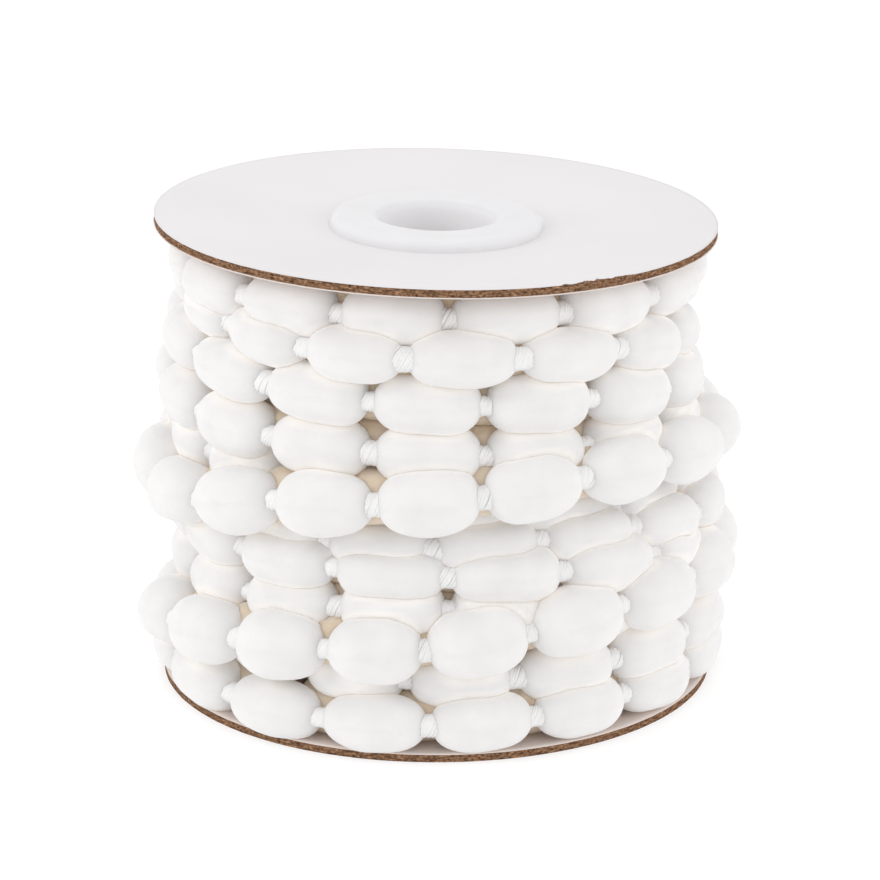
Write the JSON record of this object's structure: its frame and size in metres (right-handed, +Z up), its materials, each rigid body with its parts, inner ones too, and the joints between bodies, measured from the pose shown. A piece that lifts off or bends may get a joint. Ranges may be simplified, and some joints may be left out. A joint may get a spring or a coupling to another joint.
{
  "type": "pompom trim on a card-flanged reel",
  "caption": "String of oval pompoms joined by thread-bound necks, wound in crossing turns on a reel with round card flanges and a plastic hub bored through.",
  "frame": {"origin": "on the reel's axis, in the plane of the lower flange's rim, on which the reel stands", "axes": "+Z up along the reel's axis, -Y towards the front of the reel, +X to the right seen from the front"},
  "size_m": [0.1088, 0.1067, 0.0854],
  "materials": {
    "fibre": "soft matt brushed fibre with silky thread-bound necks",
    "card": "smooth white paper face over brown chipboard",
    "plastic": "milky, softly glossy"
  },
  "bodies": {
    "root": {"trim_winding": "fibre", "flange_top": "card", "flange_bottom": "card", "hub_top": "plastic", "hub_bottom": "plastic"}
  },
  "joints": []
}
